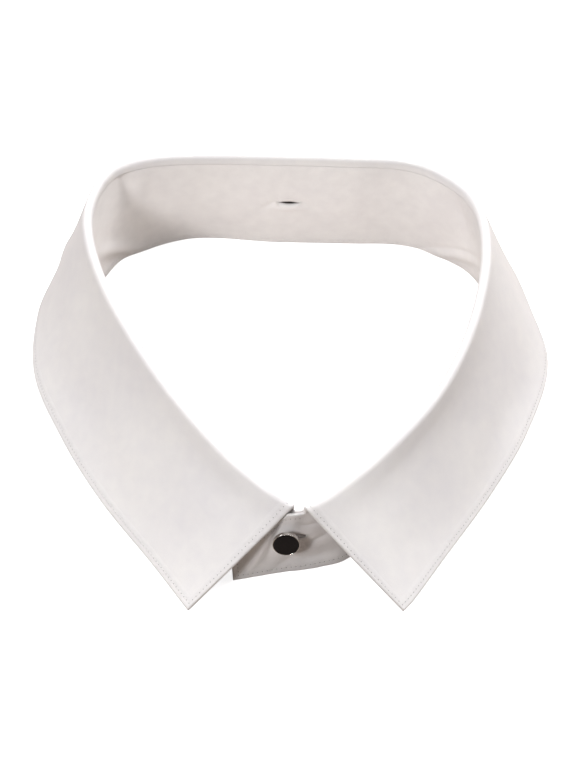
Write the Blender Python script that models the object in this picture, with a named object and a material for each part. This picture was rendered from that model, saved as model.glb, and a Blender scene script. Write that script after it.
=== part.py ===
"""Detachable shirt collar, closed into a ring by a stud and standing on a table.

The stand is the band that goes round the neck. The fall is the leaf that is seamed along the
stand's upper edge inside, rolls over the top and flares out until its edge is at the table.
Metres, +Z up, +Y towards the centre back. The viewer's left is -X, and tables are in millimetres.
"""
import math

import bmesh
import bpy
import numpy as np
from mathutils import Matrix, Vector

MM = 0.001

# Cloth: two layers of shirting on an interlining
CLOTH = 1.0 * MM
SEAM_GAP = 0.3 * MM

# Roll of the fall over the top of the stand
ROLL_RADIUS = 1.05 * MM         # of the cloth's middle
SEAM_RISE = 1.4 * MM            # cloth of the fall inside, from the seam up to the roll
HOLLOW = 1.9 * MM               # how far the fall sags under a straight line, roll to edge
HOLLOW_FRONT = 0.15             # share of that at the fronts, where it lies on the stand's end
HOLLOW_RUN = 55 * MM            # distance from the fronts over which it comes in
CORNERS = (138 * MM, 278 * MM)  # along the stand, where the ring bends and pulls the fall taut
CORNER_RUN = 20 * MM
CORNER_TAUT = 0.9               # share of the hollow that is pulled out there
EDGE_HEIGHT = 0.75 * MM         # middle of the fall's outer edge, over the table

# Sections of the collar in plan, from the viewer's left front round the back to the right front:
# x, y, top: upper edge of the stand. foot: how far the lower edge stands outside the upper one.
# edge_x, edge_y: outer edge of the fall.
SECTIONS = (
    (2.5, -52.3, 19.2, 1.4, -25.4, -70.8),
    (0.0, -51.0, 19.8, 3.2, -26.6, -69.0),
    (-5.2, -47.3, 20.9, 6.0, -29.4, -64.6),
    (-15.2, -37.2, 22.5, 6.5, -36.0, -54.4),
    (-29.3, -18.3, 25.1, 5.5, -50.6, -32.8),
    (-41.3, 2.2, 27.4, 4.7, -63.2, -9.2),
    (-51.3, 24.2, 29.6, 4.2, -73.3, 17.0),
    (-56.5, 44.0, 31.2, 2.5, -74.3, 43.5),
    (-55.8, 57.2, 32.2, 0.8, -70.4, 61.0),
    (-50.9, 67.7, 33.0, -0.2, -65.4, 80.5),
    (-41.5, 71.9, 33.6, 2.0, -48.0, 87.2),
    (-28.0, 72.8, 34.1, 5.8, -29.5, 87.8),
    (-3.0, 72.0, 34.5, 4.8, -3.0, 87.3),
    (21.0, 71.5, 34.1, 4.5, 22.5, 87.0),
    (35.8, 70.8, 33.5, 4.4, 42.2, 86.8),
    (45.8, 66.2, 32.9, 4.2, 58.4, 82.4),
    (54.0, 57.3, 32.0, 5.0, 68.2, 68.3),
    (57.2, 44.0, 31.1, 4.6, 73.9, 46.0),
    (55.6, 24.0, 29.6, 4.2, 77.2, 21.0),
    (49.2, 0.8, 27.4, 4.7, 69.2, -5.9),
    (38.8, -20.3, 25.0, 5.2, 57.0, -30.0),
    (24.2, -38.1, 22.4, 5.6, 41.8, -54.6),
    (12.4, -48.9, 20.3, 5.5, 34.2, -66.9),
    (7.6, -52.1, 19.5, 3.8, 32.1, -69.7),
    (4.9, -53.2, 19.1, 3.2, 31.0, -71.1),
)

# Ends of the stand beyond the fall, to their tips: x, y, top, foot. The right end lies over the left.
UNDER_END = (
    (5.8, -51.0, 19.0, 0.8),
    (9.6, -47.7, 18.0, 0.8),
    (14.0, -43.8, 15.0, 0.8),
)
OVER_END = (
    (2.6, -53.9, 19.6, 2.9),
    (0.3, -54.5, 19.6, 2.5),
    (-6.8, -56.6, 13.6, 1.9),
    (-14.2, -58.6, 8.4, 1.5),
)

# Soft troughs pressed into the stand: along is measured round the stand from its under tip.
TROUGH_COLUMNS = ("along", "height", "slope", "length", "width", "depth")
TROUGHS = (
    (153.0, 6.5, -0.62, 12.0, 3.0, 1.0),
    (260.0, 6.5, 0.70, 12.0, 3.0, 1.0),
    (270.0, 5.0, 0.40, 8.0, 2.5, 0.5),
    (393.0, 4.5, 0.05, 8.0, 3.0, 0.5),
)

# Buttonholes, each a slit, and in front an eyelet for the post
SLIT = 1.0 * MM
BACK_SLIT_LENGTH = 8.4 * MM
BACK_SLIT_X = 1.2 * MM
BACK_SLIT_HEIGHT = 18.5 * MM
FRONT_SLIT_REACH = 5.4 * MM     # from the post towards the viewer's right
EYELET_RADIUS = 1.5 * MM
EYELET_POINTS = 17
CUTTER_DEPTH = 16 * MM

# Stud
STUD_X = 0.3 * MM
STUD_Y = -58.6 * MM             # front of the face
STUD_HEIGHT = 12.6 * MM
STUD_TILT = math.radians(8)     # how far the face looks upwards
RIM_RADIUS = 3.6 * MM
RIM_WALL = 0.35 * MM
CUP_DEPTH = 1.3 * MM
FACE_RADIUS = 2.95 * MM
FACE_CROWN = 0.35 * MM
POST_RADIUS = 1.1 * MM
POST_LENGTH = 8.2 * MM
BACK_RADIUS = 3.0 * MM
BACK_DEPTH = 0.9 * MM
CUP_FOOT = 0.86                 # share of the rim's radius that the cup's floor has
CUP_TURN = 0.75                 # share of the cup's depth at which it turns in
BACK_FACE = 0.93                # share of the back's radius that is flat
INLAY_EDGE = -0.1 * MM          # where the inlay's dome starts
DOME = ((0.75, 0.55), (0.4, 0.9), (0.0, 1.0))      # shares of the face's radius and crown

# Mesh steps
RING_STEP = 4.0 * MM
END_STEP = 2.5 * MM
STAND_ROWS = 6
ROLL_ROWS = 5
FALL_ROWS = 7
TURN_STEPS = 32
FINE = 2000                     # points read along the plan curve
SHARP = math.radians(50)        # edges sharper than this are shaded as corners
MERGE = 0.01 * MM

COTTON, COTTON_ROUGHNESS = (0.86, 0.84, 0.83), 0.75
SILVER, SILVER_ROUGHNESS = (0.78, 0.77, 0.75), 0.2
BLACK, BLACK_ROUGHNESS = (0.010, 0.008, 0.010), 0.12


def clear_scene():
    for obj in list(bpy.data.objects):
        bpy.data.objects.remove(obj, do_unlink=True)


def material(name, colour, roughness, metallic=0.0):
    made = bpy.data.materials.new(name)
    made.use_nodes = True
    shader = made.node_tree.nodes["Principled BSDF"]
    shader.inputs["Base Color"].default_value = (*colour, 1.0)
    shader.inputs["Roughness"].default_value = roughness
    shader.inputs["Metallic"].default_value = metallic
    return made


def add_object(name, mesh_builder, finish):
    """Turns a bmesh into an object with outward faces and one material."""
    bmesh.ops.recalc_face_normals(mesh_builder, faces=mesh_builder.faces)
    mesh = bpy.data.meshes.new(name)
    mesh_builder.to_mesh(mesh)
    mesh_builder.free()
    mesh.shade_smooth()
    mesh.set_sharp_from_angle(angle=SHARP)
    obj = bpy.data.objects.new(name, mesh)
    bpy.context.scene.collection.objects.link(obj)
    if finish:
        mesh.materials.append(finish)
    return obj


def smooth_through(knots, rows, at):
    """Reads the columns of rows at the given places, on Catmull-Rom curves through the knots."""
    rows = np.asarray(rows, float)
    before = np.r_[knots[0] - (knots[1] - knots[0]), knots[:-1]]
    after = np.r_[knots[1:], knots[-1] + (knots[-1] - knots[-2])]
    first = 2 * rows[0] - rows[1]
    last = 2 * rows[-1] - rows[-2]
    around = np.vstack([first, rows, last])
    slopes = (around[2:] - around[:-2]) / (after - before)[:, None]
    i = np.clip(np.searchsorted(knots, at, side="right") - 1, 0, len(knots) - 2)
    gap = knots[i + 1] - knots[i]
    t = ((at - knots[i]) / gap)[:, None]
    gap = gap[:, None]
    return ((2 * t**3 - 3 * t**2 + 1) * rows[i] + (t**3 - 2 * t**2 + t) * gap * slopes[i]
            + (3 * t**2 - 2 * t**3) * rows[i + 1] + (t**3 - t**2) * gap * slopes[i + 1])


def chords(points):
    """Distance run at each point of a line of points."""
    return np.r_[0, np.cumsum(np.linalg.norm(np.diff(points, axis=0), axis=1))]


class Plan:
    """The collar's sections, read at any distance along the stand's upper edge."""

    def __init__(self):
        leaf = np.array(SECTIONS) * MM
        under = np.array(UNDER_END[::-1]) * MM
        over = np.array(OVER_END) * MM
        rows = np.vstack([under, leaf[:, :4], over])
        knots = chords(rows[:, :2])
        fine = np.linspace(0, knots[-1], FINE)
        curve = smooth_through(knots, rows, fine)
        run = chords(curve[:, :2])
        self.run, self.curve = run, curve
        self.length = run[-1]
        leaf_knots = np.interp(knots[len(under):len(under) + len(leaf)], fine, run)
        self.leaf_start, self.leaf_end = leaf_knots[0], leaf_knots[-1]
        self.leaf_knots, self.edges = leaf_knots, leaf[:, 4:]
        ahead = np.gradient(curve[:, :2], run, axis=0)
        ahead /= np.linalg.norm(ahead, axis=1)[:, None]
        self.outward = np.stack([-ahead[:, 1], ahead[:, 0]], axis=1)

    def read(self, table, at):
        return np.stack([np.interp(at, self.run, column) for column in table.T], axis=1)

    def stand(self, at):
        """Upper edge, outward direction, height of that edge and the foot's offset."""
        row = self.read(self.curve, at)
        return row[:, :2], self.read(self.outward, at), row[:, 2], row[:, 3]

    def fall_edge(self, at):
        return smooth_through(self.leaf_knots, self.edges, at)


def stations(plan):
    """Places round the stand: the fall's share, and the whole with both ends."""
    count = math.ceil((plan.leaf_end - plan.leaf_start) / RING_STEP)
    ring = np.linspace(plan.leaf_start, plan.leaf_end, count + 1)
    under = np.linspace(0, plan.leaf_start, math.ceil(plan.leaf_start / END_STEP) + 1)
    over_length = plan.length - plan.leaf_end
    over = np.linspace(plan.leaf_end, plan.length, math.ceil(over_length / END_STEP) + 1)
    return ring, np.r_[under[:-1], ring, over[1:]]


def trough_depth(along, height):
    """How far the troughs press the stand inwards at a place along it."""
    total = np.zeros_like(along)
    for trough in TROUGHS:
        t = dict(zip(TROUGH_COLUMNS, trough))
        run = (along - t["along"] * MM) / (t["length"] * MM)
        across = height - t["height"] * MM - t["slope"] * (along - t["along"] * MM)
        total += t["depth"] * MM * np.exp(-run**2 - (across / (t["width"] * MM)) ** 2)
    return total


def stand_middle(plan, at):
    """Middle of the stand's cloth: a row of points from foot to top at each station."""
    upper, outward, top, foot = plan.stand(at)
    sheet = np.zeros((len(at), STAND_ROWS + 1, 3))
    for j in range(STAND_ROWS + 1):
        up = j / STAND_ROWS
        height = top * up
        off = foot * (1 - up) - trough_depth(at, height) * math.sin(math.pi * up) ** 0.5
        sheet[:, j, :2] = upper + outward * off[:, None]
        sheet[:, j, 2] = height
    return sheet


def fall_middle(plan, at):
    """Middle of the fall's cloth, from the seam inside, over the roll, to the outer edge."""
    upper, outward, top, _ = plan.stand(at)
    centre = upper + outward * ROLL_RADIUS
    centre_z = top + SEAM_GAP + SEAM_RISE
    away = plan.fall_edge(at) - centre
    reach = np.linalg.norm(away, axis=1)
    away /= reach[:, None]
    drop = centre_z - EDGE_HEIGHT
    chord = np.hypot(reach, drop)
    from_front = np.minimum(at - plan.leaf_start, plan.leaf_end - at)
    hollow = HOLLOW * (HOLLOW_FRONT + (1 - HOLLOW_FRONT) * np.clip(from_front / HOLLOW_RUN, 0, 1))
    for corner in CORNERS:
        hollow *= 1 - CORNER_TAUT * np.exp(-((at - corner) / CORNER_RUN) ** 2)
    steep = np.arctan2(drop, reach) + 4 * hollow / chord
    sheet = np.zeros((len(at), 1 + ROLL_ROWS + 1 + FALL_ROWS, 3))
    sheet[:, 0, :2] = upper
    sheet[:, 0, 2] = top + SEAM_GAP
    for j in range(ROLL_ROWS + 1):
        angle = math.pi + (math.pi / 2 - steep - math.pi) * j / ROLL_ROWS
        inner = np.minimum(np.cos(angle), 0)[:, None]
        outer = np.maximum(np.cos(angle), 0)[:, None]
        sheet[:, 1 + j, :2] = centre + ROLL_RADIUS * (outward * inner + away * outer)
        sheet[:, 1 + j, 2] = centre_z + ROLL_RADIUS * np.sin(angle)
    begin = sheet[:, 1 + ROLL_ROWS].copy()
    end = np.c_[plan.fall_edge(at), np.full(len(at), EDGE_HEIGHT)]
    under = np.c_[-away * drop[:, None], -reach] / chord[:, None]
    for j in range(1, FALL_ROWS + 1):
        t = j / FALL_ROWS
        sag = (hollow * 4 * t * (1 - t))[:, None]
        sheet[:, 1 + ROLL_ROWS + j] = begin * (1 - t) + end * t + under * sag
    return sheet


def thicken(sheet, foot_row=None):
    """Closes a sheet of points into a wall of cloth, with a flat foot where it stands."""
    along = np.gradient(sheet, axis=0)
    across = np.gradient(sheet, axis=1)
    normal = np.cross(along, across)
    normal /= np.linalg.norm(normal, axis=2)[:, :, None]
    sides = [sheet + normal * CLOTH / 2, sheet - normal * CLOTH / 2]
    built = bmesh.new()
    verts = []
    for side in sides:
        if foot_row is not None:
            side[:, foot_row, 2] = 0
        verts.append([[built.verts.new(p) for p in row] for row in side])
    rows, columns = len(sheet), sheet.shape[1]
    for i in range(rows - 1):
        for j in range(columns - 1):
            for side in verts:
                built.faces.new((side[i][j], side[i + 1][j], side[i + 1][j + 1], side[i][j + 1]))
    border = [(i, 0) for i in range(rows)] + [(rows - 1, j) for j in range(1, columns)]
    border += [(i, columns - 1) for i in range(rows - 2, -1, -1)]
    border += [(0, j) for j in range(columns - 2, 0, -1)]
    for (i, j), (k, m) in zip(border, border[1:] + border[:1]):
        built.faces.new((verts[0][i][j], verts[0][k][m], verts[1][k][m], verts[1][i][j]))
    bmesh.ops.triangulate(built, faces=built.faces)
    return built


def prism(name, outline, depth, place):
    """A straight cutter with the given outline in its own XZ plane, set at a place."""
    built = bmesh.new()
    ring = [built.verts.new((x, -depth / 2, z)) for x, z in outline]
    face = built.faces.new(ring)
    moved = bmesh.ops.extrude_face_region(built, geom=[face])["geom"]
    corners = [v for v in moved if isinstance(v, bmesh.types.BMVert)]
    bmesh.ops.translate(built, verts=corners, vec=(0, depth, 0))
    bmesh.ops.transform(built, matrix=place, verts=built.verts)
    cutter = add_object(name, built, None)
    cutter.hide_render = True
    cutter.display_type = "WIRE"
    return cutter


def slit_outline(length, eyelet=0.0):
    """A slit along X from 0, with round eyelet about its beginning if one is asked for."""
    half = SLIT / 2
    outline = [(length, -half), (length + half, 0), (length, half)]
    if not eyelet:
        return outline + [(0, half), (-half, 0), (0, -half)]
    meets = math.asin(half / eyelet)
    turns = np.linspace(meets, 2 * math.pi - meets, EYELET_POINTS)
    return outline + [(eyelet * math.cos(a), eyelet * math.sin(a)) for a in turns]


def cut(target, cutter):
    step = target.modifiers.new("Cut " + cutter.name, "BOOLEAN")
    step.operation = "DIFFERENCE"
    step.solver = "EXACT"
    step.object = cutter


def stud_place():
    """Stud frame: its +Z is the axis, out of the face."""
    turn = Matrix.Rotation(math.pi / 2 - STUD_TILT, 4, "X")
    return Matrix.Translation(Vector((STUD_X, STUD_Y, STUD_HEIGHT))) @ turn


def turned(name, profile, finish):
    """A solid of revolution: profile is radius and height, from the axis to the axis."""
    built = bmesh.new()
    line = [built.verts.new((r, 0, z)) for r, z in profile]
    edges = [built.edges.new(pair) for pair in zip(line, line[1:])]
    bmesh.ops.spin(built, geom=line + edges, axis=(0, 0, 1), cent=(0, 0, 0),
                   angle=2 * math.pi, steps=TURN_STEPS, use_merge=True)
    bmesh.ops.remove_doubles(built, verts=built.verts, dist=MERGE)
    bmesh.ops.transform(built, matrix=stud_place(), verts=built.verts)
    return add_object(name, built, finish)


def make_stand(plan, at, cotton):
    stand = add_object("stand", thicken(stand_middle(plan, at), foot_row=0), cotton)
    back_y = max(row[1] for row in SECTIONS) * MM
    back = Matrix.Translation((BACK_SLIT_X - BACK_SLIT_LENGTH / 2, back_y, BACK_SLIT_HEIGHT))
    cut(stand, prism("back_buttonhole", slit_outline(BACK_SLIT_LENGTH), CUTTER_DEPTH, back))
    front = stud_place() @ Matrix.Rotation(-math.pi / 2, 4, "X")
    outline = slit_outline(FRONT_SLIT_REACH, EYELET_RADIUS)
    cut(stand, prism("front_buttonhole", outline, CUTTER_DEPTH, front))
    return stand


def make_stud(silver, black):
    inner = RIM_RADIUS - RIM_WALL
    floor = -CUP_DEPTH + RIM_WALL
    back = -CUP_DEPTH - POST_LENGTH
    turned("stud", [
        (0, floor), (inner, floor), (inner, -RIM_WALL / 3), (inner + RIM_WALL / 2, 0),
        (RIM_RADIUS, -RIM_WALL), (RIM_RADIUS, -CUP_DEPTH * CUP_TURN),
        (RIM_RADIUS * CUP_FOOT, -CUP_DEPTH),
        (POST_RADIUS, -CUP_DEPTH), (POST_RADIUS, back), (BACK_RADIUS * BACK_FACE, back),
        (BACK_RADIUS, back - BACK_DEPTH / 2), (BACK_RADIUS * BACK_FACE, back - BACK_DEPTH),
        (0, back - BACK_DEPTH)], silver)
    seat = floor + SEAM_GAP
    dome = [(FACE_RADIUS * across, FACE_CROWN * up) for across, up in DOME]
    turned("stud_face", [(0, seat), (FACE_RADIUS, seat), (FACE_RADIUS, INLAY_EDGE)] + dome, black)


def centre_on_table(objects):
    """Moves everything so that the origin is under the middle of the collar's box."""
    corners = np.array([v.co for obj in objects for v in obj.data.vertices])
    low, high = corners.min(axis=0), corners.max(axis=0)
    shift = Matrix.Translation((-(low[0] + high[0]) / 2, -(low[1] + high[1]) / 2, -low[2]))
    for obj in objects:
        obj.data.transform(shift)


def main():
    clear_scene()
    cotton = material("cotton", COTTON, COTTON_ROUGHNESS)
    silver = material("silver", SILVER, SILVER_ROUGHNESS, metallic=1.0)
    black = material("black", BLACK, BLACK_ROUGHNESS)
    plan = Plan()
    ring, whole = stations(plan)
    make_stand(plan, whole, cotton)
    add_object("fall", thicken(fall_middle(plan, ring)), cotton)
    make_stud(silver, black)
    centre_on_table([obj for obj in bpy.data.objects if obj.type == "MESH"])


main()
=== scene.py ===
"""Looks of the detachable shirt collar: cotton stand and fall, their sewing, and the stud.

Metres, +Z up, +Y towards the centre back. Tables are in millimetres and hold the part's own values,
measured from the collar's drawing origin, which PART_SHIFT moves to the part's frame.
"""

import math

import bmesh
import bpy
import numpy as np
from mathutils import Matrix, Vector


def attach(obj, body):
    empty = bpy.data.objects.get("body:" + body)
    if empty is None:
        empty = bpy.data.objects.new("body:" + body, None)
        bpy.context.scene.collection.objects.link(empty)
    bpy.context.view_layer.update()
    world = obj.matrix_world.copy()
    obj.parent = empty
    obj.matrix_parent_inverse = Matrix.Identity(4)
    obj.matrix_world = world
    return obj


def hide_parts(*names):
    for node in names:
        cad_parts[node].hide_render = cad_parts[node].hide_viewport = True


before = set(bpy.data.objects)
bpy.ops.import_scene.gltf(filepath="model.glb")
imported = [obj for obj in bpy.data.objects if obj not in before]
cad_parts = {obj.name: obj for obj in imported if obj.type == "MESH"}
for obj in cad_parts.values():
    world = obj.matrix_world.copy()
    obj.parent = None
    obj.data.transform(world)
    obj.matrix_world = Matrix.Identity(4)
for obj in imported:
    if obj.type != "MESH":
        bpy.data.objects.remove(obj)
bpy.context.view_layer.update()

MM = 0.001
PART_SHIFT = Vector((-1.3034, -8.5775, 0.0)) * MM

# Camera, as the photo was taken
VIEW_HEIGHT = math.radians(45)
VIEW_DISTANCE = 0.560
LOOK_AT = Vector((0.0, 0.0, 15.0)) * MM
SENSOR = 36.0
FOCAL_PIXELS = 1988.0
PHOTO_LONG_SIDE = 761.0

# Cloth and roll
CLOTH = 1.0 * MM
EDGE_ROUND = 0.42 * MM
SEAM_GAP = 0.3 * MM
SEAM_SHUT = 0.295 * MM          # how much of that gap the two turned edges take up together
ROLL_RADIUS = 1.05 * MM
SEAM_RISE = 1.4 * MM
HOLLOW = 1.9 * MM
HOLLOW_FRONT = 0.15
HOLLOW_RUN = 55 * MM
CORNERS = (138 * MM, 278 * MM)
CORNER_RUN = 20 * MM
CORNER_TAUT = 0.9
EDGE_HEIGHT = 0.75 * MM
FOOT_LIFT = 0.16 * MM
UPRIGHT = 2.0 * MM              # of the stand's upper edge, in line with the fall above it

# How far the wall is pressed, as shares of its thickness
PRESSED = 0.93
SEWN_DENT = 0.2
SEWN_DENT_RUN = 0.4 * MM
EDGE_SWELL = 0.07
EDGE_SWELL_RUN = 0.7 * MM
RIM_LEAST = 0.15

# x, y, top, foot, edge_x, edge_y, from the viewer's left front round the back to the right front
SECTIONS = (
    (2.5, -52.3, 19.2, 1.4, -25.4, -70.8),
    (0.0, -51.0, 19.8, 3.2, -26.6, -69.0),
    (-5.2, -47.3, 20.9, 6.0, -29.4, -64.6),
    (-15.2, -37.2, 22.5, 6.5, -36.0, -54.4),
    (-29.3, -18.3, 25.1, 5.5, -50.6, -32.8),
    (-41.3, 2.2, 27.4, 4.7, -63.2, -9.2),
    (-51.3, 24.2, 29.6, 4.2, -73.3, 17.0),
    (-56.5, 44.0, 31.2, 2.5, -74.3, 43.5),
    (-55.8, 57.2, 32.2, 0.8, -70.4, 61.0),
    (-50.9, 67.7, 33.0, -0.2, -65.4, 80.5),
    (-41.5, 71.9, 33.6, 2.0, -48.0, 87.2),
    (-28.0, 72.8, 34.1, 5.8, -29.5, 87.8),
    (-3.0, 72.0, 34.5, 4.8, -3.0, 87.3),
    (21.0, 71.5, 34.1, 4.5, 22.5, 87.0),
    (35.8, 70.8, 33.5, 4.4, 42.2, 86.8),
    (45.8, 66.2, 32.9, 4.2, 58.4, 82.4),
    (54.0, 57.3, 32.0, 5.0, 68.2, 68.3),
    (57.2, 44.0, 31.1, 4.6, 73.9, 46.0),
    (55.6, 24.0, 29.6, 4.2, 77.2, 21.0),
    (49.2, 0.8, 27.4, 4.7, 69.2, -5.9),
    (38.8, -20.3, 25.0, 5.2, 57.0, -30.0),
    (24.2, -38.1, 22.4, 5.6, 41.8, -54.6),
    (12.4, -48.9, 20.3, 5.5, 34.2, -66.9),
    (7.6, -52.1, 19.5, 3.8, 32.1, -69.7),
    (4.9, -53.2, 19.1, 3.2, 31.0, -71.1),
)
# x, y, top, foot
UNDER_END = ((5.8, -51.0, 19.0, 0.8), (9.6, -47.7, 18.0, 0.8), (14.0, -43.8, 15.0, 0.8))
OVER_END = ((2.6, -53.9, 19.6, 2.9), (0.3, -54.5, 19.6, 2.5), (-6.8, -56.6, 13.6, 1.9),
            (-14.2, -58.6, 8.4, 1.5))

# Troughs in the stand: along it, height, slope, half length, half width, depth towards the neck
STAND_TROUGHS = (
    (153.0, 6.5, -0.62, 12.0, 3.0, 1.0),
    (260.0, 6.5, 0.70, 12.0, 3.0, 1.0),
    (270.0, 5.0, 0.40, 8.0, 2.5, 0.5),
    (393.0, 4.5, 0.05, 8.0, 3.0, 0.5),
)

# Finer creases: along the piece, down from its upper edge, lean in degrees, half length, half width, rise
# outwards. The upper edge of the fall is its seam, inside.
STAND_CREASES = (
    (262.0, 23.9, -32, 13.0, 1.0, 0.80),
    (263.6, 25.9, -32, 12.0, 1.1, -0.50),
    (267.0, 27.8, -38, 7.0, 0.9, 0.25),
    (152.0, 25.4, 33, 12.0, 1.7, -0.50),
    (151.0, 30.0, 31, 13.0, 2.4, 0.60),
    (157.5, 5.0, 84, 7.0, 2.4, 0.75),
    (163.0, 5.5, 96, 7.0, 2.2, -0.35),
    (186.0, 9.0, 75, 11.0, 7.0, 0.40),
    (174.0, 20.0, 100, 9.0, 6.0, -0.25),
    (197.0, 25.0, 80, 8.0, 5.0, -0.20),
    (222.0, 12.0, 85, 12.0, 6.0, -0.25),
    (236.0, 17.0, 94, 12.0, 5.0, 0.22),
    (262.0, 7.0, 76, 9.0, 3.5, 0.90),
    (254.0, 14.0, 88, 9.0, 3.5, -0.30),
    (201.6, 17.4, -40, 3.0, 0.7, 0.40),
    (214.4, 16.6, 38, 2.8, 0.7, 0.24),
    (208.3, 18.2, 0, 4.2, 1.2, -0.60),
    (208.3, 15.6, 0, 4.6, 1.1, 0.35),
    (394.0, 4.4, -11, 5.0, 0.6, -0.26),
    (393.6, 6.6, -8, 4.6, 1.3, 0.14),
    (392.2, 10.0, 6, 4.6, 0.55, -0.28),
    (391.6, 12.2, 6, 4.6, 1.4, 0.14),
    (396.0, 15.7, -6, 7.0, 1.3, -0.42),
    (403.2, 4.4, 68, 4.6, 2.0, -0.75),
    (398.4, 3.6, 80, 3.2, 1.3, 0.25),
    (385.0, 12.0, -14, 7.0, 1.6, -0.22),
    (409.0, 7.0, 40, 4.0, 1.5, 0.22),
    (207.0, 17.0, 0, 42.0, 13.0, -0.45),
    (80.0, 16.0, 82, 10.0, 6.0, -0.25),
    (112.0, 14.0, 96, 10.0, 6.0, 0.25),
    (318.0, 14.0, 84, 10.0, 6.0, -0.25),
    (345.0, 12.0, 97, 9.0, 6.0, 0.22),
)
FALL_CREASES = (
    (362.0, 10.0, 2, 24.0, 5.5, -0.45),
    (344.0, 24.0, 6, 15.0, 6.0, 0.35),
    (322.0, 31.0, -12, 14.0, 6.0, -0.30),
    (300.0, 20.0, 24, 12.0, 7.0, 0.30),
    (281.0, 27.0, 70, 10.0, 6.0, -0.30),
    (40.0, 10.0, -3, 22.0, 5.5, -0.40),
    (64.0, 25.0, -8, 15.0, 6.0, 0.30),
    (90.0, 31.0, 12, 14.0, 6.0, -0.30),
    (112.0, 19.0, -22, 12.0, 7.0, 0.28),
    (132.0, 26.0, 104, 10.0, 6.0, -0.28),
    (150.0, 27.0, 84, 11.0, 3.2, 0.38),
    (157.5, 29.0, 97, 10.0, 3.0, -0.34),
    (166.0, 25.0, 86, 11.0, 4.0, 0.28),
    (186.0, 22.0, 10, 13.0, 6.5, -0.28),
    (209.0, 28.0, -8, 14.0, 6.0, 0.30),
    (230.0, 20.0, 14, 12.0, 6.0, -0.26),
    (247.0, 27.0, 95, 11.0, 4.0, 0.30),
    (256.0, 29.0, 82, 10.0, 3.0, -0.34),
    (264.5, 26.0, 96, 11.0, 3.2, 0.36),
)
FALL_STILL = 5.5 * MM           # of the fall from its seam, over the roll, takes no creases

# Buttonholes
SLIT = 0.3 * MM
BACK_SLIT_OPEN = 1.1 * MM
BACK_SLIT_LENGTH = 7.0 * MM
BACK_SLIT_X = 1.2 * MM
FRONT_SLIT_REACH = 5.4 * MM
EYELET_RADIUS = 1.45 * MM
FRONT_SLIT_OPEN = 1.0 * MM      # half of the pulled buttonhole's height beside the post

# Stud
STUD_X = 0.3 * MM
STUD_Y = -58.6 * MM
STUD_HEIGHT = 12.6 * MM
STUD_TILT = math.radians(8)

# Sewing
STITCH_IN = 1.5 * MM            # from the edge
STITCH_PITCH = 1.3 * MM
STITCH_LONG = 1.0 * MM
STITCH_FROM_SEAM = 1.2 * MM     # where the leaf's end rows begin, beside the seam
STITCH_THICK = 0.2 * MM
MARK_WIDE = 0.36 * MM           # the needle's mark between two stitches, drawn as a dark bead of painted shade
MARK_TALL = 0.12 * MM
STITCH_LIFT = CLOTH / 2 * 0.72  # from the middle of the wall
WHIP_PITCH = 0.26 * MM          # of the buttonholes' stitches, side by side
WHIP_IN = 0.05 * MM
WHIP_LONG = 1.15 * MM
BAR_THICK = 0.28 * MM           # the three long stitches at each end of a buttonhole
BAR_OUT = 0.1 * MM
BAR_REACH = 1.2 * MM

# Lines of the grids: distances from a free edge, and down the roll from the seam
EDGE_ROWS = np.array([0.0, 0.05, 0.14, 0.28, 0.45, 0.8, 1.15, 1.5, 1.85, 2.3, 3.0]) * MM
ROLL_ROWS = np.array([0.0, 0.5, 1.0, 1.5, 2.0, 2.5, 3.0, 3.5, 4.0, 4.6]) * MM
GRID_STEP = 0.95 * MM
STAND_ROWS = 17                 # between an edge and the line of the buttonholes
FALL_ROWS = 40
EDGE_ROOM = 4 * MM              # less than this beside a buttonhole squeezes the edge rows together
SLIT_LINE_AT = np.array([0, 40, 130, 290, 375, 420]) * MM
SLIT_LINE_SHARE = (0.6, 0.6, 0.538, 0.538, 0.618, 0.618)
CREASED_STRETCHES = ((138 * MM, 170 * MM), (198 * MM, 220 * MM), (246 * MM, 282 * MM))
UNDER_STRETCH = 28 * MM
OVER_STRETCH = 38 * MM
TABLE_STEP = 0.4 * MM           # of the fine tables that the surfaces are read from
TABLE_COLUMNS = 160
ROLL_STEPS = 40                 # places along the roll's arc, then down the leaf
LEAF_STEPS = 200

# Cotton
WEAVE_PITCH = 0.24 * MM
WEAVE_DEPTH = 0.05 * MM
SEWN_STRIP = 1.6 * MM           # either side of the sewing, uneven, with painted shade along the pressed sewing
PUCKER_DEPTH = 0.4 * MM
RIPPLE_DEPTH = 0.6 * MM


def smooth_through(knots, rows, at):
    """Reads the columns of rows at the given places, on Catmull-Rom curves through the knots."""
    rows = np.asarray(rows, float)
    before = np.r_[knots[0] - (knots[1] - knots[0]), knots[:-1]]
    after = np.r_[knots[1:], knots[-1] + (knots[-1] - knots[-2])]
    around = np.vstack([2 * rows[0] - rows[1], rows, 2 * rows[-1] - rows[-2]])
    slopes = (around[2:] - around[:-2]) / (after - before)[:, None]
    i = np.clip(np.searchsorted(knots, at, side="right") - 1, 0, len(knots) - 2)
    gap = knots[i + 1] - knots[i]
    t = ((at - knots[i]) / gap)[:, None]
    gap = gap[:, None]
    return ((2 * t**3 - 3 * t**2 + 1) * rows[i] + (t**3 - 2 * t**2 + t) * gap * slopes[i]
            + (3 * t**2 - 2 * t**3) * rows[i + 1] + (t**3 - t**2) * gap * slopes[i + 1])


def chords(points):
    return np.r_[0, np.cumsum(np.linalg.norm(np.diff(points, axis=0), axis=1))]


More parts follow.
